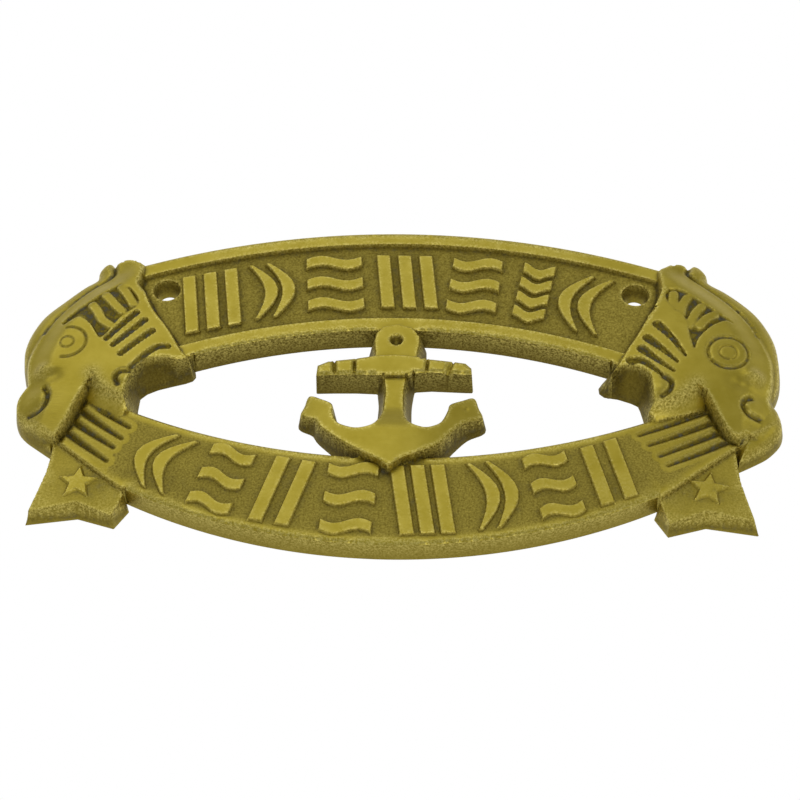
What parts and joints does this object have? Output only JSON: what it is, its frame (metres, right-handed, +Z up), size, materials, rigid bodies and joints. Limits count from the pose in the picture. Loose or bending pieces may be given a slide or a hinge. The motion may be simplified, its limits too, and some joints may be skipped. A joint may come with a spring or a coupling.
{
  "type": "boat sign",
  "caption": "Cast brass wall sign: a pointed-oval ring of two banded arcs between fish heads with forked ribbon tails, and an anchor in its open window.",
  "frame": {"origin": "on the flat back, level with the middle of the sign's height and on the line of the anchor's shank", "axes": "+Z up, +X to the right as the viewer sees it, +Y through the back towards the wall, face towards -Y"},
  "size_m": [0.2312, 0.0122, 0.12],
  "materials": {
    "polished_brass": "sand cast yellow brass, belt polished on its raised faces and left rough and dark in its fields and grooves"
  },
  "bodies": {
    "root": {"sign_casting": "polished_brass"}
  },
  "joints": []
}
